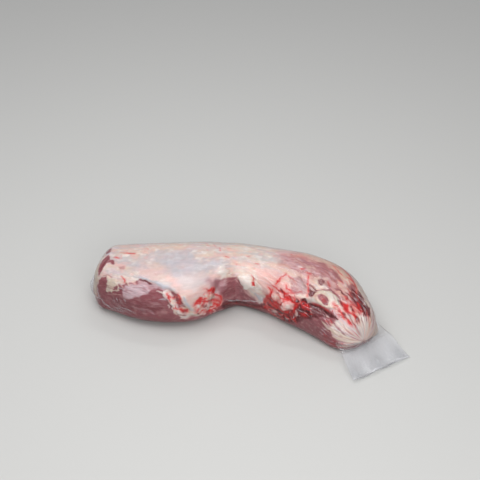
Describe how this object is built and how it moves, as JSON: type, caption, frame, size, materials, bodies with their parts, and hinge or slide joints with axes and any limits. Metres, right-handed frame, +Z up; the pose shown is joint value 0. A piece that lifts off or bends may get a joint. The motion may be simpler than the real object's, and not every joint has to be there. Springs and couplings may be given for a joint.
{
  "type": "vacuum-packed raw beef tenderloin",
  "caption": "Whole raw beef tenderloin with fat cover, silverskin and bare muscle, shrunk tight in a clear vacuum bag with a flat open flap, lying in a shallow curve.",
  "frame": {"origin": "centre of the bounding box's base, on the surface the piece lies on", "axes": "+X from the thick head to the tail, -Y to the hollow side of its bend, which faces the viewer, +Z up"},
  "size_m": [0.4558, 0.2374, 0.085],
  "materials": {
    "meat": "moist cream fat, mauve muscle and blood red ends",
    "film": "clear shrink film, glossy and wrinkled"
  },
  "bodies": {
    "root": {"vacuum_bag": "meat"}
  },
  "joints": []
}
